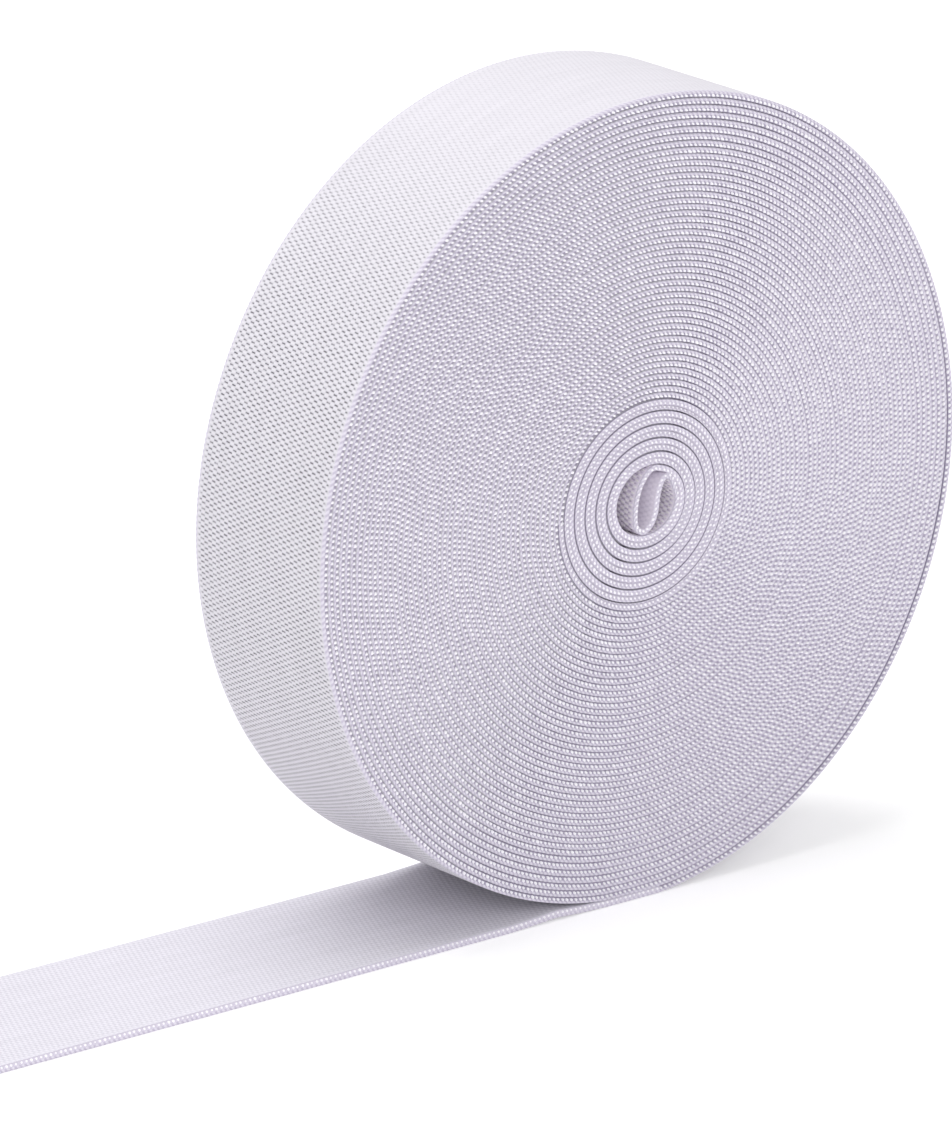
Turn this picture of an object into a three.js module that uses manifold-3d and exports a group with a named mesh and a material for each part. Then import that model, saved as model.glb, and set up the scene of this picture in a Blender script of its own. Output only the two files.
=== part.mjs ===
// A roll of knitted elastic tape that stands on its rim, with the loose end lying out along the floor.
// Millimetres, +Z up. The roll's axis runs along Y, its front is at -Y, and the loose end runs along -X.
// The origin is on the floor, on the roll's flat spot, below the axis.
// The roll is one solid of its wound form. Its middle shows how it was started: the tape's inner end
// is folded into a hairpin, the two arms are wound up together, and the longer arm then goes on alone.

import * as THREE from 'three';
import { mergeVertices } from 'three/addons/utils/BufferGeometryUtils.js';
import Module from 'manifold-3d';

const wasm = await Module();
wasm.setup();

// The tape and the roll
const TAPE_WIDTH = 25;
const TAPE_THICKNESS = 1.0; // lying free; the wound turns are pressed thinner
const ROLL_RADIUS = 53.6;
const FLAT_SPOT_HALF = 5; // half of the flat spot where the round part rests
const PIECE_GAP = 0.3; // between the roll and its loose end

// The winding, counted in turns from the top, clockwise as seen from the front. The doubled turns reach
// as far as the short arm's end lies under them, and the last turns at the rim are wound more loosely.
const DOUBLED = { turns: 5.75, pitch: 1.73 };
const RIM = { turns: 8, pitch: 0.9 };
const ALL_TURNS = 53.5; // ends at the bottom, where the tape leaves the roll
const CORE_RADIUS = 3.8;
const CORE_SHIFT = { x: 0.6, z: -0.3 }; // of the first turns from the roll's axis
const CORE_OVAL = 0.4; // how much wider than a circle the first turns lie, and how much lower
const DOUBLED_RADIUS = CORE_RADIUS + DOUBLED.turns * DOUBLED.pitch;
const RIM_RADIUS = ROLL_RADIUS - RIM.turns * RIM.pitch;
const RIM_FROM = ALL_TURNS + 1 - RIM.turns;
const TIGHT_PITCH = (RIM_RADIUS - DOUBLED_RADIUS) / (RIM_FROM - DOUBLED.turns);

// The eye in the middle, and the hairpin that crosses it: its centreline from the long arm to the short
// one, from the roll's axis. Both ends run into the wound part.
const EYE = { halfWidth: 4.75, halfHeight: 4.3 };
const HAIRPIN = [
  { x: 2.9, z: 4.7 },
  { x: 0.9, z: 4.0 },
  { x: -0.6, z: 2.2 },
  { x: -1.25, z: 0.4 },
  { x: -1.4, z: -1.6 },
  { x: -1.1, z: -3.5 },
  { x: 0.2, z: -4.3 },
  { x: 1.45, z: -3.2 },
  { x: 2.05, z: -1.6 },
  { x: 2.3, z: 0.3 },
  { x: 2.75, z: 1.9 },
  { x: 3.5, z: 3.1 },
  { x: 4.5, z: 3.1 },
  { x: 5.4, z: 2.0 },
];

// Grooves that part the turns which show singly: the doubled ones and the last few at the rim
const GROOVES = [
  { fromTurn: 1.05, toTurn: DOUBLED.turns, halfWidth: 0.24, depth: 0.8, stepsPerTurn: 40 },
  { fromTurn: ALL_TURNS - 2, toTurn: ALL_TURNS + 0.04, halfWidth: 0.16, depth: 0.6, stepsPerTurn: 84 },
];

// The loose end: it comes out from under the roll as a short lip, then lies on the floor
const LIP_END = -10;
const TAIL_END = -112;
const TAIL_RISES = [
  { x: LIP_END - PIECE_GAP, rise: 0.2 },
  { x: -13, rise: 0.4 },
  { x: -16.5, rise: 0.2 },
  { x: -21, rise: 0 },
  { x: TAIL_END, rise: 0 },
];

// How finely the curves are cut
const OUTLINE_STEPS = 144;
const EYE_STEPS = 40;
const HAIRPIN_STEPS = 52;

const AXIS_HEIGHT = Math.sqrt(ROLL_RADIUS ** 2 - FLAT_SPOT_HALF ** 2);

const elastic = new THREE.MeshStandardMaterial({ color: 0xe4e0ea, roughness: 0.9, metalness: 0 });
const elasticBack = new THREE.MeshStandardMaterial({ color: 0xe9e6ef, roughness: 0.9, metalness: 0 });

// Radius of a turn's inner side
function windingRadius(turns) {
  if (turns < DOUBLED.turns) return CORE_RADIUS + turns * DOUBLED.pitch;
  if (turns < RIM_FROM) return DOUBLED_RADIUS + (turns - DOUBLED.turns) * TIGHT_PITCH;
  return RIM_RADIUS + (turns - RIM_FROM) * RIM.pitch;
}

// Place of a turn's inner side, from the roll's axis. The oval and the shift of the core fade out
// towards the rim.
function windingPoint(turns) {
  const angle = 2 * Math.PI * turns;
  const radius = windingRadius(turns);
  const fade = 1 - (radius - CORE_RADIUS) / (ROLL_RADIUS - CORE_RADIUS);
  const oval = radius - CORE_OVAL * fade * Math.cos(2 * angle);
  return new THREE.Vector2(
    oval * Math.sin(angle) + CORE_SHIFT.x * fade,
    oval * Math.cos(angle) + CORE_SHIFT.z * fade,
  );
}

// A turn's inner side as a line at one depth along the roll's axis
class WindingLine extends THREE.Curve {
  constructor(fromTurn, toTurn, y) {
    super();
    this.fromTurn = fromTurn;
    this.toTurn = toTurn;
    this.y = y;
    this.arcLengthDivisions = 2000;
  }

  getPoint(t, target = new THREE.Vector3()) {
    const place = windingPoint(THREE.MathUtils.lerp(this.fromTurn, this.toTurn, t));
    return target.set(place.x, this.y, AXIS_HEIGHT + place.y);
  }
}

// A closed geometry as a solid for cutting and joining
function toSolid(geometry) {
  const bare = geometry.clone();
  bare.deleteAttribute('normal');
  bare.deleteAttribute('uv');
  const merged = mergeVertices(bare, 1e-5);
  return new wasm.Manifold(new wasm.Mesh({
    numProp: 3,
    vertProperties: new Float32Array(merged.attributes.position.array),
    triVerts: new Uint32Array(merged.index.array),
  }));
}

function toGeometry(solid) {
  const mesh = solid.getMesh();
  const geometry = new THREE.BufferGeometry();
  geometry.setAttribute('position', new THREE.BufferAttribute(mesh.vertProperties, 3));
  geometry.setIndex(new THREE.BufferAttribute(mesh.triVerts, 1));
  geometry.computeVertexNormals();
  return geometry;
}

// A section in X and Z, drawn out across the tape's width
function acrossTape(shape, height) {
  const geometry = new THREE.ExtrudeGeometry(shape, { depth: TAPE_WIDTH, bevelEnabled: false });
  geometry.rotateX(Math.PI / 2);
  geometry.translate(0, TAPE_WIDTH / 2, height);
  return geometry;
}

// The wound form from the side, with its eye and with the lip that leads into the loose end
function rollSection() {
  const secondTurn = windingRadius(ALL_TURNS);
  const lipTop = TAPE_THICKNESS - AXIS_HEIGHT;
  const lipAngle = Math.acos(-lipTop / secondTurn) / (2 * Math.PI);
  const flatAngle = Math.asin(FLAT_SPOT_HALF / ROLL_RADIUS) / (2 * Math.PI);
  const fromTurn = ALL_TURNS + lipAngle;
  const toTurn = ALL_TURNS + 1 - flatAngle;
  const rim = [];
  for (let i = 0; i < OUTLINE_STEPS; i += 1) {
    rim.push(windingPoint(THREE.MathUtils.lerp(fromTurn, toTurn, i / OUTLINE_STEPS)));
  }
  const section = new THREE.Shape([
    ...rim,
    new THREE.Vector2(FLAT_SPOT_HALF, -AXIS_HEIGHT),
    new THREE.Vector2(LIP_END, -AXIS_HEIGHT),
    new THREE.Vector2(LIP_END, lipTop),
  ]);
  const eye = new THREE.EllipseCurve(CORE_SHIFT.x, CORE_SHIFT.z, EYE.halfWidth, EYE.halfHeight);
  section.holes.push(new THREE.Path(eye.getPoints(EYE_STEPS).slice(0, EYE_STEPS)));
  return section;
}

// The folded inner end, a ribbon of the tape's thickness along the hairpin's centreline
function hairpinSection() {
  const line = new THREE.SplineCurve(HAIRPIN.map(({ x, z }) => new THREE.Vector2(x, z)));
  const half = DOUBLED.pitch / 4;
  const leftSide = [];
  const rightSide = [];
  for (let i = 0; i <= HAIRPIN_STEPS; i += 1) {
    const place = line.getPointAt(i / HAIRPIN_STEPS);
    const along = line.getTangentAt(i / HAIRPIN_STEPS);
    leftSide.push(new THREE.Vector2(place.x - along.y * half, place.y + along.x * half));
    rightSide.push(new THREE.Vector2(place.x + along.y * half, place.y - along.x * half));
  }
  return new THREE.Shape([...rightSide, ...leftSide.reverse()]);
}

// A V-shaped groove along the turns, on the face at y
function groove({ fromTurn, toTurn, halfWidth, depth, stepsPerTurn }, y) {
  const diamond = new THREE.Shape([
    new THREE.Vector2(depth, 0),
    new THREE.Vector2(0, halfWidth),
    new THREE.Vector2(-depth, 0),
    new THREE.Vector2(0, -halfWidth),
  ]);
  return new THREE.ExtrudeGeometry(diamond, {
    steps: Math.round((toTurn - fromTurn) * stepsPerTurn),
    bevelEnabled: false,
    extrudePath: new WindingLine(fromTurn, toTurn, y),
  });
}

function makeWoundRoll() {
  let solid = toSolid(acrossTape(rollSection(), AXIS_HEIGHT));
  solid = solid.add(toSolid(acrossTape(hairpinSection(), AXIS_HEIGHT)));
  for (const row of GROOVES) {
    for (const y of [-TAPE_WIDTH / 2, TAPE_WIDTH / 2]) {
      solid = solid.subtract(toSolid(groove(row, y)));
    }
  }
  const roll = new THREE.Mesh(toGeometry(solid), elastic);
  roll.name = 'wound_roll';
  return roll;
}

function makeLooseEnd() {
  const underside = TAIL_RISES.map(({ x, rise }) => new THREE.Vector2(x, rise));
  const top = TAIL_RISES.map(({ x, rise }) => new THREE.Vector2(x, rise + TAPE_THICKNESS));
  const section = new THREE.Shape([...underside, ...top.reverse()]);
  const tail = new THREE.Mesh(acrossTape(section, 0), elasticBack);
  tail.name = 'loose_end';
  return tail;
}

const rollOfElastic = new THREE.Group();
rollOfElastic.add(makeWoundRoll(), makeLooseEnd());

export default rollOfElastic;
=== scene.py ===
# %% [markdown]
# # A roll of knitted elastic
# A long tape of white knitted elastic, 25 mm wide, is wound up on itself and stands on its rim. Its inner
# end is folded into a hairpin, the two arms of the hairpin were wound up together for the first turns,
# and the long arm then goes on alone. The outer end lies out along the floor.
# The solids of the part give the place and the size of everything here, so they are loaded first.

# %% Load the frame
import math

import bmesh
import bpy
import numpy as np
from mathutils import Matrix, Vector


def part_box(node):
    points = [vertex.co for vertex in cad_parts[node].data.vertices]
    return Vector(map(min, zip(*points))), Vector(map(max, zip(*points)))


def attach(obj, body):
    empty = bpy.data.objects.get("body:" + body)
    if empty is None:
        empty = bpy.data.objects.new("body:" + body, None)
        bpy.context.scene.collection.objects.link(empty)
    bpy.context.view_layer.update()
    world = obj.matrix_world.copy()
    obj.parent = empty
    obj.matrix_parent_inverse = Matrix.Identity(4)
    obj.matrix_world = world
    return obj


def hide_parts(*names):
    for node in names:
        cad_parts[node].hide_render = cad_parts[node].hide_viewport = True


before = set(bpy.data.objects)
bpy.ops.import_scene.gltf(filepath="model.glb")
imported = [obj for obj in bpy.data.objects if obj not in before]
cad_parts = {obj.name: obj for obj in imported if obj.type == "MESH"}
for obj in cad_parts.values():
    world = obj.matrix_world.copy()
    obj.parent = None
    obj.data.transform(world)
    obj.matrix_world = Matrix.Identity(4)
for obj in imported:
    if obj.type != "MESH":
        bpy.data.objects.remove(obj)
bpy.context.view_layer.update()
MM = 0.001
roll_low, roll_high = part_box("wound_roll")
tail_low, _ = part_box("loose_end")
TAPE_WIDTH = roll_high.y - roll_low.y
print("tape width", round(TAPE_WIDTH / MM, 2), "mm, nodes", sorted(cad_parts))

# %% [markdown]
# ## The winding
# A wound tape is one spiral. Its radius could grow evenly, but this roll has three parts: doubled turns
# in the middle, where two arms lie together, tight turns after them, and looser ones at the rim.
# So the radius of a turn's inner side is read off between four marks. Turns are counted from the top,
# clockwise as seen from the front. The first turns are a little oval and off the axis, as hand winding
# leaves them, and the lowest stretch is pressed flat where the roll stands.

# %% Winding
ROLL_RADIUS = 53.6 * MM
CORE_RADIUS = 3.8 * MM
DOUBLED_TURNS = 5.75
DOUBLED_PITCH = 1.73 * MM
ALL_TURNS = 53.5
RIM_TURNS = 8
RIM_PITCH = 0.9 * MM
CORE_SHIFT = (0.6 * MM, -0.3 * MM)
CORE_OVAL = 0.4 * MM
CORE_SQUEEZE = 0.4 * MM  # how far the left half of the first turns is pressed in
FLAT_SPOT_HALF = 5 * MM
FLAT_SPOT_DEPTH = 10 * MM  # how far into the roll the flat spot is felt
AXIS_HEIGHT = math.sqrt(ROLL_RADIUS**2 - FLAT_SPOT_HALF**2)

TURN_MARKS = (0, DOUBLED_TURNS, ALL_TURNS + 1 - RIM_TURNS, ALL_TURNS + 1)
RADIUS_MARKS = (
    CORE_RADIUS,
    CORE_RADIUS + DOUBLED_TURNS * DOUBLED_PITCH,
    ROLL_RADIUS - RIM_TURNS * RIM_PITCH,
    ROLL_RADIUS,
)


def winding_place(turns, out):
    """Places in X and Z at a distance out from the inner side of a turn."""
    angle = 2 * np.pi * turns
    radius = np.interp(turns, TURN_MARKS, RADIUS_MARKS)
    fade = (ROLL_RADIUS - radius) / (ROLL_RADIUS - CORE_RADIUS)
    squeeze = CORE_SQUEEZE * np.exp(-turns / 2) * (1 - np.sin(angle)) / 2
    oval = radius + out - CORE_OVAL * fade * np.cos(2 * angle) - squeeze
    x = oval * np.sin(angle) + CORE_SHIFT[0] * fade
    z = oval * np.cos(angle) + CORE_SHIFT[1] * fade
    pressed = np.sqrt(np.maximum(ROLL_RADIUS**2 - x**2, 0)) - AXIS_HEIGHT
    felt = np.clip(1 - (ROLL_RADIUS - radius) / FLAT_SPOT_DEPTH, 0, 1)
    z += np.where(z < 0, np.maximum(pressed, 0) * felt, 0)
    return np.column_stack((x, AXIS_HEIGHT + z))


print("axis", round(AXIS_HEIGHT / MM, 2), "mm above the floor")

# %% [markdown]
# ## One line for the whole tape
# The tape could be many rings, but a real roll is a single strip. So one centreline runs from the
# short arm's end, inwards along its turns, round the hairpin, out along the long arm and over the
# floor to the cut end. Every piece of tape and every stitch is then placed by its distance along
# that line, and the knitting runs on without a break where one piece of tape follows another.
# Seen from the front, the stitches of the edge lie on the right-hand side of somebody who walks along it.

# %% Centreline
PRESSED_THICKNESS = 0.80 * MM
RIM_THICKNESS = RIM_PITCH
FREE_THICKNESS = 1.0 * MM
ARM_GAP = 0.05 * MM  # between the two arms in the doubled turns
THIN_END = 0.12  # of its thickness is left at the short arm's pressed end
HAIRPIN_FROM = 0.22  # turns, where the short arm goes over into the hairpin
HAIRPIN_TO = 0.07  # turns, where the hairpin goes over into the long arm
ARM_TRIM = 0.1  # of a turn, the part of an arm that already bends towards the hairpin
SHORT_TURN_STEP, LONG_TURN_STEP = 0.002, 0.0005
SHORT_STRIDE, LONG_STRIDE = 20, 60  # of these steps, between points that guide the bend
# The last turn stands off a little at the lower right: where, in turns, and how far, in mm
SLACK_TURN = ((53.15, 53.28, 53.40, 53.47), (0, 0.2, 0.2, 0))
LAST_TURN_END = ALL_TURNS - math.asin(FLAT_SPOT_HALF / ROLL_RADIUS) / (2 * math.pi)
HAIRPIN = (  # its centreline in X and Z, mm from the roll's axis
    (4.65, 2.3),
    (3.9, 2.8),
    (3.15, 2.5),
    (2.65, 1.6),
    (2.3, 0.3),
    (2.05, -1.6),
    (1.4, -3.1),
    (0.15, -4.0),
    (-1.1, -3.3),
    (-1.4, -1.6),
    (-1.22, 0.4),
    (-0.7, 2.0),
    (-0.05, 3.1),
    (0.8, 3.95),
    (1.7, 4.28),
)
TAIL_END = tail_low.x
TAIL_RISES = ((-21, 0), (-16.5, 0.2), (-13, 0.4), (-9, 0.15), (-4, 0))  # underside above the floor, mm
LIP = (5 * MM, 12 * MM)  # left of the middle, where the tape swells from pressed to free
LINE_STEP = 0.1 * MM


def smooth_line(points, step):
    """A Catmull-Rom curve through the points, at an even step."""
    p = np.vstack((2 * points[0] - points[1], points, 2 * points[-1] - points[-2]))
    t = np.linspace(0, 1, 24, endpoint=False)[:, None]
    runs = []
    for a, b, c, d in zip(p, p[1:], p[2:], p[3:]):
        bend = 2 * a - 5 * b + 4 * c - d
        twist = 3 * b - a - 3 * c + d
        runs.append(b + 0.5 * ((c - a) * t + bend * t**2 + twist * t**3))
    return even_line(np.vstack(runs + [points[-1:]]), step)


def even_line(points, step):
    """The same polyline with its points at an even step."""
    length = np.concatenate(([0], np.cumsum(np.hypot(*np.diff(points, axis=0).T))))
    at = np.linspace(0, length[-1], max(2, int(length[-1] / step)))
    return np.column_stack([np.interp(at, length, axis) for axis in points.T])


def pressed_thickness(turns):
    """The turns near the rim are pressed less and fill their wider pitch."""
    looser = (TURN_MARKS[2] - 1, TURN_MARKS[2])
    return np.interp(turns, looser, (PRESSED_THICKNESS, RIM_THICKNESS))


def short_thickness(turns):
    """The short arm thins out along its last turn, pressed by the turns that lie over it."""
    return PRESSED_THICKNESS * np.clip(DOUBLED_TURNS - turns, THIN_END, 1)


short_turns = np.arange(DOUBLED_TURNS, HAIRPIN_FROM, -SHORT_TURN_STEP)
short_arm = winding_place(short_turns, short_thickness(short_turns) / 2)
long_turns = np.arange(HAIRPIN_TO, LAST_TURN_END, LONG_TURN_STEP)
below = (PRESSED_THICKNESS + ARM_GAP) * np.clip(DOUBLED_TURNS - long_turns, 0, 1)
slack_turn = np.interp(long_turns, *SLACK_TURN) * MM
long_arm = winding_place(long_turns, below + slack_turn + pressed_thickness(long_turns) / 2)
hairpin = np.array(HAIRPIN) * MM + (0, AXIS_HEIGHT)
short_kept = short_turns > HAIRPIN_FROM + ARM_TRIM
long_kept = long_turns > HAIRPIN_TO + ARM_TRIM
core = smooth_line(
    np.vstack((short_arm[~short_kept][::SHORT_STRIDE], hairpin, long_arm[~long_kept][::LONG_STRIDE])),
    LINE_STEP,
)
short_arm, short_turns = short_arm[short_kept], short_turns[short_kept]
long_arm, long_turns = long_arm[long_kept], long_turns[long_kept]
floor_x = np.arange(FLAT_SPOT_HALF - 0.5 * MM, TAIL_END, -LINE_STEP)
floor_half = np.interp(-floor_x, LIP, (RIM_THICKNESS / 2, FREE_THICKNESS / 2))
rise_x, rise_z = np.array(TAIL_RISES).T * MM
floor_line = np.column_stack((floor_x, np.interp(floor_x, rise_x, rise_z) + floor_half))

LINE = np.vstack((short_arm, core, long_arm, floor_line))
DISTANCE = np.concatenate(([0], np.cumsum(np.hypot(*np.diff(LINE, axis=0).T))))
LINE = even_line(LINE, LINE_STEP)
SMOOTH = np.ones(7) / 7
LINE[3:-3] = np.column_stack([np.convolve(axis, SMOOTH, "valid") for axis in LINE.T])
ALONG = np.linspace(0, DISTANCE[-1], len(LINE))
HEADING = np.gradient(LINE, axis=0)
HEADING /= np.hypot(*HEADING.T)[:, None]


def at_distance(s):
    """Place, heading and right-hand direction of the centreline, in X and Z."""
    place = np.column_stack([np.interp(s, ALONG, axis) for axis in LINE.T])
    ahead = np.column_stack([np.interp(s, ALONG, axis) for axis in HEADING.T])
    ahead /= np.hypot(*ahead.T)[:, None]
    return place, ahead, np.column_stack((ahead[:, 1], -ahead[:, 0]))


SHORT_DISTANCE = DISTANCE[: len(short_turns)]
LONG_DISTANCE = DISTANCE[-len(floor_line) - len(long_turns) : -len(floor_line)]


def distance_of(turns):
    """Distance along the line where the long arm has made these turns."""
    return float(np.interp(turns, long_turns, LONG_DISTANCE))


TAPE_LENGTH = ALONG[-1]
LEAVES_ROLL = DISTANCE[-len(floor_line)]
print("tape", round(TAPE_LENGTH, 3), "m, of it on the floor", round(TAPE_LENGTH - LEAVES_ROLL, 4), "m")

# %% [markdown]
# ## Courses along the tape
# Knitting counts in courses along the tape and wales across it, and every course ends in a stitch on both
# edges. With one even pitch the stitches of neighbouring turns would line up into rings of their own,
# which a real roll doesn't show, because the tape was pulled unevenly as it was wound. So the pitch
# drifts by small seeded steps. The last turn and the loose end are slack, and there it is even.

# %% Courses
WOUND_COURSE = 0.74 * MM
SLACK_COURSE = 0.767 * MM
COURSE_DRIFT = 0.04 * MM
DRIFT_RUN = 5  # courses over which the pull changes
LAST_TURN_FROM = distance_of(ALL_TURNS - 1)

wound_courses = round(LAST_TURN_FROM / WOUND_COURSE)
uneven_pull = np.random.default_rng(11)
pull = uneven_pull.normal(WOUND_COURSE, COURSE_DRIFT, wound_courses + DRIFT_RUN - 1)
pull = np.convolve(pull, np.ones(DRIFT_RUN) / DRIFT_RUN, "valid")
pull *= LAST_TURN_FROM / pull.sum()
slack = np.full(int((TAPE_LENGTH - LAST_TURN_FROM) / SLACK_COURSE) + 2, SLACK_COURSE)
COURSES = np.concatenate(([0], np.cumsum(np.concatenate((pull, slack)))))  # distance of each course
COURSE_NUMBERS = np.arange(len(COURSES))


def course_at(s):
    """How many courses lie before a distance."""
    return np.interp(s, COURSES, COURSE_NUMBERS)


def course_rows(low, high, per_course):
    """Distances at every course, or at equal shares of one, with both ends."""
    first = math.floor(course_at(low) * per_course + 0.2) + 1
    counts = np.arange(first, course_at(high) * per_course - 0.2) / per_course
    return np.concatenate(([low], np.interp(counts, COURSE_NUMBERS, COURSES), [high]))


print(len(COURSES), "courses")

# %% [markdown]
# ## The knit
# This elastic is warp knitted: yarn loops hold rubber threads. One side of the tape shows a lattice of
# narrow slits, and the other the loops that cross between them. Both follow the same half-drop repeat,
# so one formula with two cosines serves for the relief in the mesh and, later on, in the material.
# It is 1 in the middle of a slit and -1 in the middle of a loop, and a small cross term leans the slits.

# %% Knit pattern
WALES = 33
WALE = TAPE_WIDTH / WALES
SLIT_LEAN = 0.2
SLIT_STRETCH = 4.0  # draws the slits out across the tape


def knit(course, wale):
    a = 2 * np.pi * course
    b = np.pi * wale
    return np.cos(a) * np.clip(SLIT_STRETCH * np.cos(b), -1, 1) + SLIT_LEAN * np.sin(a) * np.sin(b)


print("a wale is", round(WALE / MM, 3), "mm wide")

# %% [markdown]
# ## Bending a flat grid into tape
# A strip could be extruded step by step, but thousands of steps are slow. Instead the grid operator makes
# a flat sheet of quads: its rows become places along the centreline, and its columns go once round the
# tape's section. The vertices are then moved, the seam is merged and the two ends are closed.
# The section is flat on both sides. On its edges the plain side is a low ridge, and the stitched side
# falls off into a groove, which gives the thin dark line between two turns. In the doubled turns the
# stitched sides of both arms lie against each other, so there the groove is on the plain side. The last
# turn's plain side is the rim of the roll, and it rounds over into its edges.
# The UV map counts courses along the tape. Across the tape it counts wales on the sides and millimetres
# on the edges.

# %% Tape from a grid
EDGE_PROFILES = {  # from the stitched side, as a share of the thickness; height above the edge, mm
    "core": ((-0.50, -0.14), (-0.43, -0.10), (0.06, -0.10), (0.18, -0.04), (0.40, -0.02), (0.50, -0.22)),
    "wound": ((-0.50, -0.45), (-0.40, -0.24), (0.04, -0.21), (0.18, -0.05), (0.36, -0.01), (0.50, -0.12)),
    "rim": (
        (-0.50, -0.45),
        (-0.40, -0.24),
        (0.04, -0.21),
        (0.18, -0.05),
        (0.34, -0.05),
        (0.45, -0.18),
        (0.50, -0.45),
    ),
    "free": ((-0.50, -0.12), (-0.44, -0.07), (0.10, -0.06), (0.24, -0.03), (0.38, -0.02), (0.50, -0.16)),
}
EDGE_ZONE, PLAIN_ZONE, LOOP_ZONE = 0, 1, 2
SELVEDGE = (0.5 * MM, 1.0 * MM)  # from the edge, the strip in which the slits and loops fade in
LATTICE_MARGIN = 0.1 * MM
CUT_END_UV = (0, 0.6)
STRAYS = ((0.02, 37, 0), (0.015, 11.3, 1), (0.015, 151, 2))  # waves: how far and how long, mm; start
STRAY_FADE = 50 * MM  # before the tape leaves the roll


def wander(s):
    """How far the tape strays to and fro along the roll's axis."""
    waves = sum(far * np.sin(s / (over * MM) + start) for far, over, start in STRAYS)
    return waves * MM * np.clip((LEAVES_ROLL - s) / STRAY_FADE, 0, 1)


def tape_section(edge_kind, knit_plain, knit_loops):
    """Section corners as share of thickness and place across; UV span and zone of each column."""
    half = TAPE_WIDTH / 2
    shares, heights = np.array(EDGE_PROFILES[edge_kind]).T
    front = -half - heights * MM
    lattice = np.arange(1, 2 * WALES) * WALE / 2 - half
    plain = lattice[np.abs(lattice) < -front[-1] - LATTICE_MARGIN] if knit_plain else lattice[:0]
    loops = lattice[np.abs(lattice) < -front[0] - LATTICE_MARGIN] if knit_loops else lattice[:0]
    across = np.concatenate((front, plain, -front[::-1], loops[::-1], front[:1]))
    share = np.concatenate((shares, 0.5 + 0 * plain, shares[::-1], -0.5 + 0 * loops, shares[:1]))
    rounded = np.where(np.arange(len(shares)) > heights.argmax(), heights.max() - heights, 0)
    edge = (shares + 0.5) * PRESSED_THICKNESS / MM + rounded
    plain = (np.concatenate((front[-1:], plain, -front[-1:])) + half) / WALE
    loops = (np.concatenate((-front[:1], loops[::-1], front[:1])) + half) / WALE
    runs = ((edge, EDGE_ZONE), (plain, PLAIN_ZONE), (edge[::-1], EDGE_ZONE), (loops, LOOP_ZONE))
    spans = []
    for values, zone in runs:
        spans += [(low, high, zone) for low, high in zip(values, values[1:])]
    return share, across, np.array(spans)


def tape_thickness(s):
    place, _, _ = at_distance(s)
    short = short_thickness(np.interp(s, SHORT_DISTANCE, short_turns))
    wound = pressed_thickness(np.interp(s, LONG_DISTANCE, long_turns))
    free = np.interp(-place[:, 0], LIP, (RIM_THICKNESS, FREE_THICKNESS))
    return np.select((s < SHORT_DISTANCE[-1], s < LEAVES_ROLL), (short, wound), free)


def bend_tape(name, stations, edge_kind, slit_depth=0, loop_height=0):
    """A closed length of tape along the centreline, with its knit raised in the points of its sides."""
    share, across, spans = tape_section(edge_kind, slit_depth > 0, loop_height > 0)
    rows, columns = len(stations), len(share)
    bm = bmesh.new()
    bmesh.ops.create_grid(bm, x_segments=columns - 1, y_segments=rows - 1, size=1)
    mesh = bpy.data.meshes.new(name)
    bm.to_mesh(mesh)
    bm.free()

    place, _, right = at_distance(stations)
    course = course_at(stations)
    pattern = knit(course[:, None], (across[None, :] + TAPE_WIDTH / 2) / WALE)
    inner = np.interp(TAPE_WIDTH / 2 - np.abs(across), SELVEDGE, (0, 1))
    offset = -tape_thickness(stations)[:, None] * share[None, :]
    offset += slit_depth * pattern * inner * (share == 0.5)
    offset -= loop_height * pattern * inner * (share == -0.5)
    points = np.empty((rows, columns, 3))
    points[:, :, 0] = place[:, :1] + right[:, :1] * offset
    points[:, :, 1] = across[None, :] + wander(stations)[:, None]
    points[:, :, 2] = place[:, 1:] + right[:, 1:] * offset
    mesh.vertices.foreach_set("co", points.reshape(-1))

    vertex = np.empty(len(mesh.loops), int)
    mesh.loops.foreach_get("vertex_index", vertex)
    corner = vertex.reshape(-1, 4) % columns
    face_column = corner.min(axis=1)
    low, high, face_zone = spans[face_column].T
    v = np.where(corner == face_column[:, None], low[:, None], high[:, None]).reshape(-1)
    layer = mesh.uv_layers.new(name="tape")
    layer.data.foreach_set("uv", np.column_stack((course[vertex // columns], v)).reshape(-1))
    mesh.polygons.foreach_set("material_index", face_zone.astype(np.int32))

    bm = bmesh.new()
    bm.from_mesh(mesh)
    bmesh.ops.remove_doubles(bm, verts=bm.verts, dist=1e-7)
    ends = bmesh.ops.holes_fill(bm, edges=[edge for edge in bm.edges if edge.is_boundary])["faces"]
    for loop in (loop for face in ends for loop in face.loops):
        loop[bm.loops.layers.uv["tape"]].uv = CUT_END_UV
    bmesh.ops.recalc_face_normals(bm, faces=bm.faces)
    bm.to_mesh(mesh)
    bm.free()
    mesh.shade_smooth()
    mesh.set_sharp_from_angle(angle=math.radians(55))
    piece = bpy.data.objects.new(name, mesh)
    bpy.context.collection.objects.link(piece)
    print(name, len(mesh.polygons), "faces")
    return piece


# %% [markdown]
# ## The lengths of tape
# Only what can be seen closely needs the knit in its mesh: the folded start, whose sides show in the eye
# of the roll, the last turn, which is the roll's rim, and the loose end. The turns between them show
# their edges alone, so there the sides stay plain and a row every few millimetres is enough.
# Where the knit is raised, the rows lie at shares of a course, so that they meet its highest points.

# %% Lengths of tape
FOLD_TURNS = (1.1, 0.4)  # along the short arm and the long arm
EYE_RELIEF, RIM_RELIEF, LOOSE_RELIEF = 0.14 * MM, 0.02 * MM, 0.015 * MM
FOLD_FROM = float(np.interp(-FOLD_TURNS[0], -short_turns, SHORT_DISTANCE))
FOLD_TO = distance_of(FOLD_TURNS[1])
DOUBLED_TO = distance_of(DOUBLED_TURNS)
CORE_STEP = 0.9 * MM
TURN_STEP = 2.4 * MM

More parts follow.
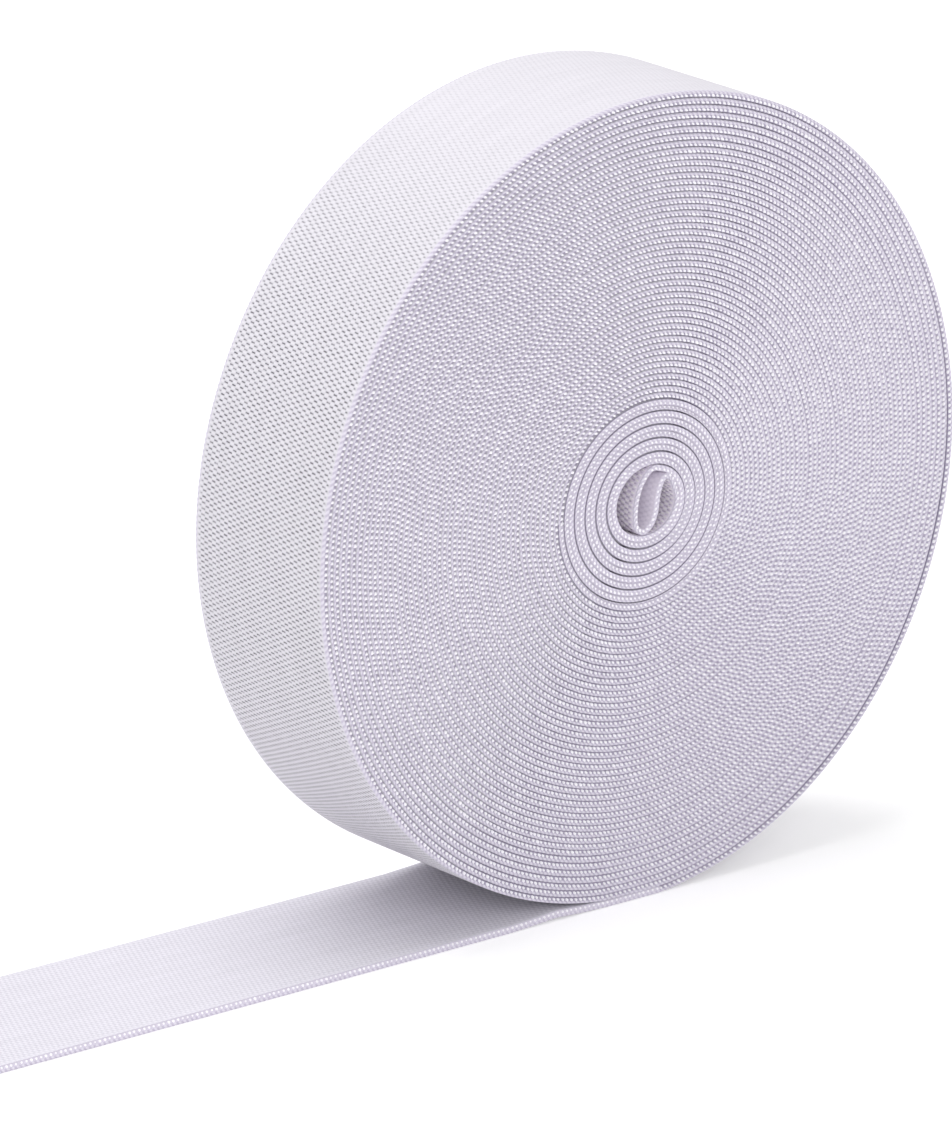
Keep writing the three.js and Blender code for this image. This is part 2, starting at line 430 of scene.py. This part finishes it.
short_rows = np.append(np.arange(0, FOLD_FROM, CORE_STEP), FOLD_FROM)
doubled_rows = np.append(np.arange(FOLD_TO, DOUBLED_TO, CORE_STEP), DOUBLED_TO)
turn_rows = np.append(np.arange(DOUBLED_TO, LAST_TURN_FROM, TURN_STEP), LAST_TURN_FROM)
last_rows = course_rows(LAST_TURN_FROM, LEAVES_ROLL, 2)
loose_rows = course_rows(LEAVES_ROLL + 0.05 * MM, TAPE_LENGTH, 2)
short_piece = bend_tape("short_arm", short_rows, "core")
fold_rows = course_rows(FOLD_FROM, FOLD_TO, 4)
fold_piece = bend_tape("folded_start", fold_rows, "core", slit_depth=EYE_RELIEF)
doubled_piece = bend_tape("doubled_turns", doubled_rows, "core")
turns_piece = bend_tape("wound_turns", turn_rows, "wound")
rim_piece = bend_tape("last_turn", last_rows, "rim", slit_depth=RIM_RELIEF)
loose_piece = bend_tape("loose_tape", loose_rows, "free", loop_height=LOOSE_RELIEF)
TAPE_PIECES = (short_piece, fold_piece, doubled_piece, turns_piece, rim_piece, loose_piece)

# %% [markdown]
# ## The edge stitches
# Along both edges the yarn turns back in a row of tight stitches, which shows on the roll as fine beads.
# One stitch is half a small sphere, drawn out into a drop that leans forward. The same drop is then
# repeated along the tape by arrays, one for each course, with a little seeded unevenness.

# %% Edge stitches
STITCH_SIDES = 6
STITCH_LENGTH = 0.24 * MM  # half of the head's length, along the tape
STITCH_WIDTH = 0.17 * MM  # half of its width
STITCH_HEIGHT = 0.36 * MM
STITCH_SEAT = -0.25 * MM  # foot of a stitch, from the plane of the edge
STITCH_TAPER = 0.3  # share of its length and height that the tip loses
STITCH_TAIL = (-0.17 * MM, -0.31 * MM)  # how far the drop's tip is drawn back, and to the plain side
WOUND_PLACE = 0.15 * MM  # head's middle, from the tape's middle to its stitched side
LOOSE_PLACE = 0.24 * MM
CORE_STITCH = 0.85  # the stitches of the doubled turns are pressed lower
LOOSE_STITCH = 1.05  # and those of the loose end stand free
STITCH_STRAY, STITCH_LIFT = 0.03 * MM, 0.025 * MM  # seeded unevenness along the tape and in height
STITCH_SPREAD = 0.07  # and in size


def stitch_drop():
    """Corners and triangles of one drop: along the tape, to the stitched side, and up."""
    bm = bmesh.new()
    bmesh.ops.create_uvsphere(bm, u_segments=STITCH_SIDES, v_segments=4, radius=1)
    below = [v for v in bm.verts if v.co.z < -0.1]
    bmesh.ops.delete(bm, geom=below, context="VERTS")
    for v in bm.verts:
        back = max(0, -v.co.y)
        v.co.x = v.co.x * STITCH_LENGTH * (1 - STITCH_TAPER * back) + STITCH_TAIL[0] * back
        v.co.y = v.co.y * STITCH_WIDTH + (STITCH_TAIL[1] + STITCH_WIDTH) * back
        v.co.z = v.co.z * STITCH_HEIGHT * (1 - STITCH_TAPER * back)
    bmesh.ops.triangulate(bm, faces=bm.faces)
    bm.verts.index_update()
    corners = np.array([v.co[:] for v in bm.verts])
    triangles = np.array([[v.index for v in f.verts] for f in bm.faces])
    bm.free()
    return corners, triangles


def stitch_row(name, low, high, side):
    """Stitches on the front edge, side -1, or on the back edge, side 1, between two distances."""
    s = COURSES[math.ceil(course_at(low)) : math.ceil(course_at(high))]
    count = len(s)
    uneven = np.random.default_rng(count + side)
    s = s + uneven.normal(0, STITCH_STRAY, count)
    size = uneven.normal(1, STITCH_SPREAD, (count, 1)) * np.where(s < LEAVES_ROLL, 1, LOOSE_STITCH)[:, None]
    slim = np.minimum(tape_thickness(s) / PRESSED_THICKNESS, 1)[:, None]
    lift = uneven.normal(0, STITCH_LIFT, count)
    tall = size * np.where(s < DOUBLED_TO, CORE_STITCH, 1)[:, None]
    middle = np.where(s < LEAVES_ROLL, WOUND_PLACE, LOOSE_PLACE)[:, None] * slim
    place, ahead, right = at_distance(s)
    corners, triangles = stitch_drop()
    along = corners[:, 0] * size
    sideways = corners[:, 1] * size * slim + middle
    points = np.empty((count, len(corners), 3))
    points[:, :, 0] = place[:, :1] + ahead[:, :1] * along + right[:, :1] * sideways
    points[:, :, 2] = place[:, 1:] + ahead[:, 1:] * along + right[:, 1:] * sideways
    height = TAPE_WIDTH / 2 + STITCH_SEAT + lift[:, None] + corners[:, 2] * tall
    points[:, :, 1] = side * height + wander(s)[:, None]
    faces = (np.arange(count) * len(corners))[:, None, None] + triangles[None]
    if side > 0:
        faces = faces[:, :, ::-1]
    mesh = bpy.data.meshes.new(name)
    mesh.from_pydata(points.reshape(-1, 3).tolist(), [], faces.reshape(-1, 3).tolist())
    mesh.shade_smooth()
    piece = bpy.data.objects.new(name, mesh)
    bpy.context.collection.objects.link(piece)
    print(name, count, "stitches,", len(mesh.polygons), "triangles")
    return piece


HALF_WAY = distance_of(40)  # parts the wound stitches into two pieces, so that neither grows too large
STITCH_RUNS = (
    ("inner", 0, HALF_WAY),
    ("outer", HALF_WAY, LEAVES_ROLL),
    ("loose", LEAVES_ROLL, TAPE_LENGTH),
)
STITCHES = {}
for edge_name, edge_side in (("front", -1), ("back", 1)):
    for run, run_from, run_to in STITCH_RUNS:
        key = f"{edge_name}_stitches_{run}"
        STITCHES[key] = stitch_row(key, run_from, run_to, edge_side)

# %% [markdown]
# ## Colours and nodes
# Colours are picked on a screen, so they are written as sRGB hex values, and one function turns them
# into the linear light that the shader works in. One more function adds a node to a material.

# %% Colour and node helpers


def linear(hex_colour):
    """Linear RGBA of an sRGB hex value."""
    values = [int(hex_colour[i : i + 2], 16) / 255 for i in (1, 3, 5)]
    return (*[v / 12.92 if v <= 0.04045 else ((v + 0.055) / 1.055) ** 2.4 for v in values], 1)


def add(tree, kind, inputs, out=0, **settings):
    """One output of a new node, with its settings, and its inputs linked or filled in."""
    made = tree.nodes.new(kind)
    for name, value in settings.items():
        setattr(made, name, value)
    for socket, value in inputs.items():
        if isinstance(value, bpy.types.NodeSocket):
            tree.links.new(value, made.inputs[socket])
        else:
            made.inputs[socket].default_value = value
    return made.outputs[out]


def new_material(name):
    material = bpy.data.materials.new(name)
    material.use_nodes = True
    return material, material.node_tree, material.node_tree.nodes["Principled BSDF"]


print("white paper", [round(v, 3) for v in linear("#fbfbfb")])

# %% [markdown]
# ## Polyester yarn, knitted: the sides of the tape
# Textured polyester yarn scatters light softly and has a faint sheen. The slits between the loops lie in
# shade and let the greyish rubber threads show through, some more than others, so their colour is partly
# painted shade and partly the rubber's own. The raised loops are painted lighter than the yarn between
# them, a painted highlight. The material repeats the formula of the knit on the tape's own UV map, so the
# shade falls into the slits of the mesh. Towards the edges the slits close. Over the top of the last turn,
# where the light from above falls, the slit shade fades out and the loops' lighter colour spreads all
# over: a painted top light. In the eye of the roll the yarn is painted lighter, for the light that
# scatters in there, and in the fold's middle pocket darker, as painted shade.

# %% Knitted sides
# Yarn, painted loop highlight, and slit colour, which is partly painted shade and partly the rubber
# threads.
RIM_YARN = ("#d0cdd5", "#e3e0e7", "#4a4651")  # yarn, loop and slit
SMOOTH_YARN = ("#d8d5df", "#ebe8f0", "#8d8896")
# The eye's yarn is painted lighter, for the light that scatters into the eye, and the fold's middle pocket
# darker, as painted shade.
EYE_LIT_YARN = ("#ede4f4", "#fffbff", "#9b90a8")
FOLD_SHADED_YARN = ("#cec6d5", "#dcd5e1", "#a098aa")
YARN_ROUGHNESS = 0.85
SIDE_SHEEN, EDGE_SHEEN = 0.15, 0.1
FIBRE_SIZE = 0.12 * MM
STREAKS = (0.06, 0.8, 1)  # in a course and a wale; the yarn differs a little in streaks along the tape
STREAK_TONE = 0.95
FAINT_SLIT = 0.5  # strength of the faintest slits
SLIT_MASK = (0.64, 0.93)  # where the formula's slope becomes the slit's edge
LOOP_MASK = (-0.2, -0.9)
# The top of the last turn is painted lighter, as the light from above falls there: a painted top light.
TOP_COURSE = float(course_at(distance_of(ALL_TURNS - 0.5)))
TOP_LIGHT_COURSES = (15, 80)  # from the top of the last turn, in courses: painted top light, full to none
# share of the painted slit shade that is left under the painted top light
TOP_LIT_SLITS = 0.15
TOP_LIGHT_TONE = 0.4  # painted top light: how much of the loops' painted highlight the top has all over


def knit_nodes(tree, course, wale):
    """A socket that is 1 in the slits and -1 on the loops."""
    a = add(tree, "ShaderNodeMath", {0: course, 1: 2 * math.pi}, operation="MULTIPLY")
    b = add(tree, "ShaderNodeMath", {0: wale, 1: math.pi}, operation="MULTIPLY")
    cos_a = add(tree, "ShaderNodeMath", {0: a}, operation="COSINE")
    sin_a = add(tree, "ShaderNodeMath", {0: a}, operation="SINE")
    cos_b = add(tree, "ShaderNodeMath", {0: b}, operation="COSINE")
    sin_b = add(tree, "ShaderNodeMath", {0: b}, operation="SINE")
    ends = {"From Min": -1 / SLIT_STRETCH, "From Max": 1 / SLIT_STRETCH, "To Min": -1, "To Max": 1}
    long_b = add(tree, "ShaderNodeMapRange", {"Value": cos_b, **ends})
    both_cos = add(tree, "ShaderNodeMath", {0: cos_a, 1: long_b}, operation="MULTIPLY")
    both_sin = add(tree, "ShaderNodeMath", {0: sin_a, 1: sin_b}, operation="MULTIPLY")
    return add(tree, "ShaderNodeMath", {0: both_sin, 1: SLIT_LEAN, 2: both_cos}, operation="MULTIPLY_ADD")


def knitted_side(name, yarn, slit_amount, loop_highlight_amount, depth, top_light_at=None):
    """Knitted yarn with slit shade and painted loop highlights this strong, relief this deep, and a painted
    top light at a course.
    """
    material, tree, shader = new_material(name)
    uv = add(tree, "ShaderNodeUVMap", {}, uv_map="tape")
    course, wale, _ = add(tree, "ShaderNodeSeparateXYZ", {0: uv}).node.outputs
    pattern = knit_nodes(tree, course, wale)
    masks = []
    for low, high in (SLIT_MASK, LOOP_MASK):
        limits = {"Value": pattern, "From Min": low, "From Max": high}
        masks.append(add(tree, "ShaderNodeMapRange", limits, interpolation_type="SMOOTHSTEP"))
    slit, loop = masks

    off_middle = add(tree, "ShaderNodeMath", {0: wale, 1: WALES / 2}, operation="SUBTRACT")
    off_middle = add(tree, "ShaderNodeMath", {0: off_middle}, operation="ABSOLUTE")
    fade = [WALES / 2 - place / WALE for place in SELVEDGE]
    limits = {"Value": off_middle, "From Min": fade[0], "From Max": fade[1]}
    inside = add(tree, "ShaderNodeMapRange", limits, interpolation_type="SMOOTHSTEP")
    each_slit = add(tree, "ShaderNodeTexNoise", {"Vector": uv, "Scale": 1.4, "Detail": 1})
    limits = {"Value": each_slit, "From Min": 0.35, "From Max": 0.62, "To Min": FAINT_SLIT, "To Max": 1}
    uneven = add(tree, "ShaderNodeMapRange", limits)
    shade = add(tree, "ShaderNodeMath", {0: slit, 1: slit_amount}, operation="MULTIPLY")
    shade = add(tree, "ShaderNodeMath", {0: shade, 1: inside}, operation="MULTIPLY")
    shade = add(tree, "ShaderNodeMath", {0: shade, 1: uneven}, operation="MULTIPLY")
    # painted highlight: the raised loops get the lighter loop colour
    loop_highlight = add(tree, "ShaderNodeMath", {0: loop, 1: loop_highlight_amount}, operation="MULTIPLY")
    # painted top light: around that course the slit shade fades out and the loops' lighter colour spreads
    # all over
    if top_light_at is not None:
        off_top = add(tree, "ShaderNodeMath", {0: course, 1: top_light_at}, operation="SUBTRACT")
        off_top = add(tree, "ShaderNodeMath", {0: off_top}, operation="ABSOLUTE")
        ends = {"From Min": TOP_LIGHT_COURSES[0], "From Max": TOP_LIGHT_COURSES[1], "To Min": TOP_LIT_SLITS}
        top_light_fade = add(tree, "ShaderNodeMapRange", {"Value": off_top, **ends}, interpolation_type="SMOOTHSTEP")
        shade = add(tree, "ShaderNodeMath", {0: shade, 1: top_light_fade}, operation="MULTIPLY")
        loop_highlight = add(tree, "ShaderNodeMix", {0: top_light_fade, 2: TOP_LIGHT_TONE, 3: loop_highlight})

    coords = add(tree, "ShaderNodeTexCoord", {}, out="Object")
    fibre = add(tree, "ShaderNodeTexNoise", {"Vector": coords, "Scale": 1 / FIBRE_SIZE, "Detail": 2})
    drawn_out = add(tree, "ShaderNodeMapping", {"Vector": uv, "Scale": STREAKS})
    streak = add(tree, "ShaderNodeTexNoise", {"Vector": drawn_out, "Scale": 1, "Detail": 2})
    colours = {0: loop_highlight, 6: linear(yarn[0]), 7: linear(yarn[1])}
    colour = add(tree, "ShaderNodeMix", colours, out=2, data_type="RGBA")
    colours = {0: shade, 6: colour, 7: linear(yarn[2])}
    colour = add(tree, "ShaderNodeMix", colours, out=2, data_type="RGBA")
    limits = {"Value": streak, "From Min": 0.3, "From Max": 0.7, "To Min": STREAK_TONE, "To Max": 1.0}
    tone = add(tree, "ShaderNodeMapRange", limits)
    colour = add(tree, "ShaderNodeHueSaturation", {"Color": colour, "Value": tone})
    raised = add(tree, "ShaderNodeMath", {0: loop_highlight, 1: shade}, operation="SUBTRACT")
    height = add(tree, "ShaderNodeMath", {0: fibre, 1: 0.35, 2: raised}, operation="MULTIPLY_ADD")
    bump = add(tree, "ShaderNodeBump", {"Height": height, "Distance": depth, "Strength": 0.8})
    tree.links.new(colour, shader.inputs["Base Color"])
    tree.links.new(bump, shader.inputs["Normal"])
    shader.inputs["Roughness"].default_value = YARN_ROUGHNESS
    shader.inputs["Sheen Weight"].default_value = SIDE_SHEEN
    return material


rim_side = knitted_side("knitted_elastic_slit_side", RIM_YARN, 1.0, 0.6, 0.08 * MM, TOP_COURSE)
plain_side = knitted_side("knitted_elastic_inner_side", RIM_YARN, 0.25, 0.3, 0.05 * MM)
loop_side = knitted_side("knitted_elastic_loop_side", SMOOTH_YARN, 0.28, 0.6, 0.05 * MM)
lit_eye_side = knitted_side("knitted_elastic_eye_side_painted_light", EYE_LIT_YARN, 0.75, 1.0, 0.14 * MM)
shaded_fold_side = knitted_side("knitted_elastic_fold_side_painted_shade", FOLD_SHADED_YARN, 0.3, 0.5, 0.05 * MM)
# the course at the middle of the painted top light
print("sides done, tight at course", round(TOP_COURSE))

# %% [markdown]
# ## Polyester yarn, knitted: the edge
# Across the edge, a thin line at the groove is dark, because two turns meet there and little light gets in.
# The bed of the stitches is in half shade, and on the plain ridge their yarn runs on as slanting strokes.
# In the doubled turns, in the fold and on the loose end, the bed is shallower and lighter.

# %% Knitted edge
EDGE_YARN = "#d6d1de"
EDGE_SHADE = "#c0b9cb"
GROOVE_LINE = (0.04, 0.13)  # mm across, from dark to pale
CORE_LINE = (0.86, 0.76)  # on the plain side
STITCH_BED = (0.40, 0.52)
STROKE_LEAN = 0.78  # courses for each mm across


def knitted_edge(name, line, groove, bed):
    """An edge with a dark line from and to these places, the line's colour, and that of the stitch bed."""
    material, tree, shader = new_material(name)
    uv = add(tree, "ShaderNodeUVMap", {}, uv_map="tape")
    course, across, _ = add(tree, "ShaderNodeSeparateXYZ", {0: uv}).node.outputs
    masks = []
    for low, high in (line, STITCH_BED):
        limits = {"Value": across, "From Min": low, "From Max": high}
        masks.append(add(tree, "ShaderNodeMapRange", limits, interpolation_type="SMOOTHSTEP"))
    off_line, ridge = masks
    leaning = add(tree, "ShaderNodeMath", {0: across, 1: STROKE_LEAN, 2: course}, operation="MULTIPLY_ADD")
    turn = add(tree, "ShaderNodeMath", {0: leaning, 1: 2 * math.pi}, operation="MULTIPLY")
    wave = add(tree, "ShaderNodeMath", {0: turn}, operation="COSINE")
    stroke = add(tree, "ShaderNodeMapRange", {"Value": wave, "From Min": -0.7, "From Max": 0.4})
    colours = {0: stroke, 6: linear(EDGE_SHADE), 7: linear(EDGE_YARN)}
    strokes = add(tree, "ShaderNodeMix", colours, out=2, data_type="RGBA")
    colours = {0: ridge, 6: linear(bed), 7: strokes}
    colour = add(tree, "ShaderNodeMix", colours, out=2, data_type="RGBA")
    colours = {0: off_line, 6: linear(groove), 7: colour}
    colour = add(tree, "ShaderNodeMix", colours, out=2, data_type="RGBA")
    bump = add(tree, "ShaderNodeBump", {"Height": wave, "Distance": 0.03 * MM, "Strength": 1.0})
    tree.links.new(colour, shader.inputs["Base Color"])
    tree.links.new(bump, shader.inputs["Normal"])
    shader.inputs["Roughness"].default_value = YARN_ROUGHNESS
    shader.inputs["Sheen Weight"].default_value = EDGE_SHEEN
    return material


wound_edge = knitted_edge("knitted_elastic_edge", GROOVE_LINE, "#7f788d", "#a59eb2")
core_edge = knitted_edge("knitted_elastic_core_edge", CORE_LINE, "#978fa4", "#c3bccd")
fold_edge = knitted_edge("knitted_elastic_fold_edge", CORE_LINE, "#c6c0d0", "#cbc4d4")
loose_edge = knitted_edge("knitted_elastic_loose_edge", GROOVE_LINE, "#c6c0cf", "#cfc9d8")
print("edges done")

# %% [markdown]
# ## Polyester yarn: the edge stitches
# The stitches are the same yarn, packed closely and rounded, so they catch the most light, and they are
# painted whiter than the rest of the yarn as a painted highlight. Slow noise makes some of them a shade
# greyer.

# %% Edge stitch yarn
# both painted whiter than the edge's yarn, a painted highlight; noise mixes between them at random
STITCH_GREY, STITCH_WHITE = "#ece9f1", "#fbfafd"


def edge_stitch():
    material, tree, shader = new_material("polyester_edge_stitch_painted_highlight")
    coords = add(tree, "ShaderNodeTexCoord", {}, out="Object")
    patchy = add(tree, "ShaderNodeTexNoise", {"Vector": coords, "Scale": 1 / (1.6 * MM), "Detail": 1})
    colours = {0: patchy, 6: linear(STITCH_GREY), 7: linear(STITCH_WHITE)}
    colour = add(tree, "ShaderNodeMix", colours, out=2, data_type="RGBA")
    tree.links.new(colour, shader.inputs["Base Color"])
    shader.inputs["Roughness"].default_value = YARN_ROUGHNESS
    shader.inputs["Sheen Weight"].default_value = EDGE_SHEEN
    return material


stitch_material = edge_stitch()
FINISHES = {  # edge, plain side, loop side
    short_piece: (core_edge, plain_side, loop_side),
    fold_piece: (fold_edge, lit_eye_side, shaded_fold_side),
    doubled_piece: (core_edge, plain_side, loop_side),
    turns_piece: (wound_edge, plain_side, loop_side),
    rim_piece: (wound_edge, rim_side, loop_side),
    loose_piece: (loose_edge, plain_side, loop_side),
}
for piece, finishes in FINISHES.items():
    for material in finishes:
        piece.data.materials.append(material)
for piece in STITCHES.values():
    piece.data.materials.append(stitch_material)
print(len(FINISHES) + len(STITCHES), "pieces have their yarn")

# %% [markdown]
# ## Place in the frame
# The roll is cloth with no joint, so every piece rides on the one body. The wound tape stands for the
# solid of the roll, and the loose end for its own solid. The loose end is the one sheet that lies free.

# %% Ride and replace
for piece in (*TAPE_PIECES, *STITCHES.values()):
    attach(piece, "root")
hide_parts("wound_roll")
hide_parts("loose_end")

# %% [markdown]
# ## Floor, light and camera
# The roll stands on a white floor in a light tent: light comes from all around, most of it from above,
# so shadows are soft and short. The camera looks from the left and a little from above through a long
# lens, which keeps the roll's circles close to true ellipses.

# %% Floor and light
FLOOR_HALF = 4.0
TENT_LIGHT = 0.67
FLOOR_GLOW = 0.17  # the paper lies on a light table
bm = bmesh.new()
bmesh.ops.create_grid(bm, x_segments=1, y_segments=1, size=FLOOR_HALF)
floor_mesh = bpy.data.meshes.new("floor")
bm.to_mesh(floor_mesh)
bm.free()
floor = bpy.data.objects.new("floor", floor_mesh)
bpy.context.collection.objects.link(floor)
floor_material, _, floor_shader = new_material("white_paper_floor")
floor_shader.inputs["Base Color"].default_value = linear("#fbfbfb")
floor_shader.inputs["Roughness"].default_value = 0.9
floor_shader.inputs["Specular IOR Level"].default_value = 0.0
floor_shader.inputs["Emission Color"].default_value = (1, 1, 1, 1)
floor_shader.inputs["Emission Strength"].default_value = FLOOR_GLOW
floor.data.materials.append(floor_material)

scene = bpy.context.scene
world = bpy.data.worlds.new("light_tent")
world.use_nodes = True
scene.world = world
world_tree = world.node_tree
world_tree.nodes["Background"].inputs["Color"].default_value = (1, 1, 1, 1)
world_tree.nodes["Background"].inputs["Strength"].default_value = TENT_LIGHT
scene.view_settings.view_transform = "Standard"


def softbox(name, place, target, size, watts):
    light = bpy.data.lights.new(name, "AREA")
    light.shape = "DISK"
    light.size = size
    light.energy = watts
    lamp = bpy.data.objects.new(name, light)
    aim = (Vector(place) - Vector(target)).to_track_quat("Z", "Y")
    lamp.matrix_world = Matrix.Translation(place) @ aim.to_matrix().to_4x4()
    bpy.context.collection.objects.link(lamp)


softbox("top_softbox", (-0.2, 0.3, 1.2), (0, 0, 0), 1.2, 9.5)
softbox("front_softbox", (-0.75, -1.15, 0.65), (0, 0, 0.05), 1.0, 5.8)

# %% [markdown]
# The camera's angles, distance and lens were worked out from the roll's outline in the photograph.
# Its centre sits to the right of the picture's middle, so the camera is turned a little off it.

# %% Camera
IMAGE_WIDTH, IMAGE_HEIGHT = 952, 1135
AZIMUTH, ELEVATION, TILT = math.radians(-41.60), math.radians(17.25), math.radians(1.39)
CAMERA_DISTANCE = 1.2481
FOCAL_PIXELS = 9800.3
ROLL_CENTRE_PIXEL = (579.6, 477.2)

back = Vector((
    math.sin(AZIMUTH) * math.cos(ELEVATION),
    -math.cos(AZIMUTH) * math.cos(ELEVATION),
    math.sin(ELEVATION),
))
level = Vector((math.cos(AZIMUTH), math.sin(AZIMUTH), 0))
right = math.cos(TILT) * level + math.sin(TILT) * back.cross(level)
up = back.cross(right)
camera_data = bpy.data.cameras.new("camera")
camera_data.sensor_width = 36
camera_data.lens = FOCAL_PIXELS / IMAGE_HEIGHT * camera_data.sensor_width
camera = bpy.data.objects.new("camera", camera_data)
off_right = (ROLL_CENTRE_PIXEL[0] - IMAGE_WIDTH / 2) / FOCAL_PIXELS
off_up = (IMAGE_HEIGHT / 2 - ROLL_CENTRE_PIXEL[1]) / FOCAL_PIXELS
position = Vector((0, 0, ROLL_RADIUS)) + back * CAMERA_DISTANCE
view_back = (back + right * off_right + up * off_up).normalized()
view_right = (right - view_back * right.dot(view_back)).normalized()
axes = Matrix((view_right, view_back.cross(view_right), view_back)).transposed()
camera.matrix_world = Matrix.Translation(position) @ axes.to_4x4()
bpy.context.collection.objects.link(camera)
scene.camera = camera
print("lens", round(camera_data.lens, 1), "mm")
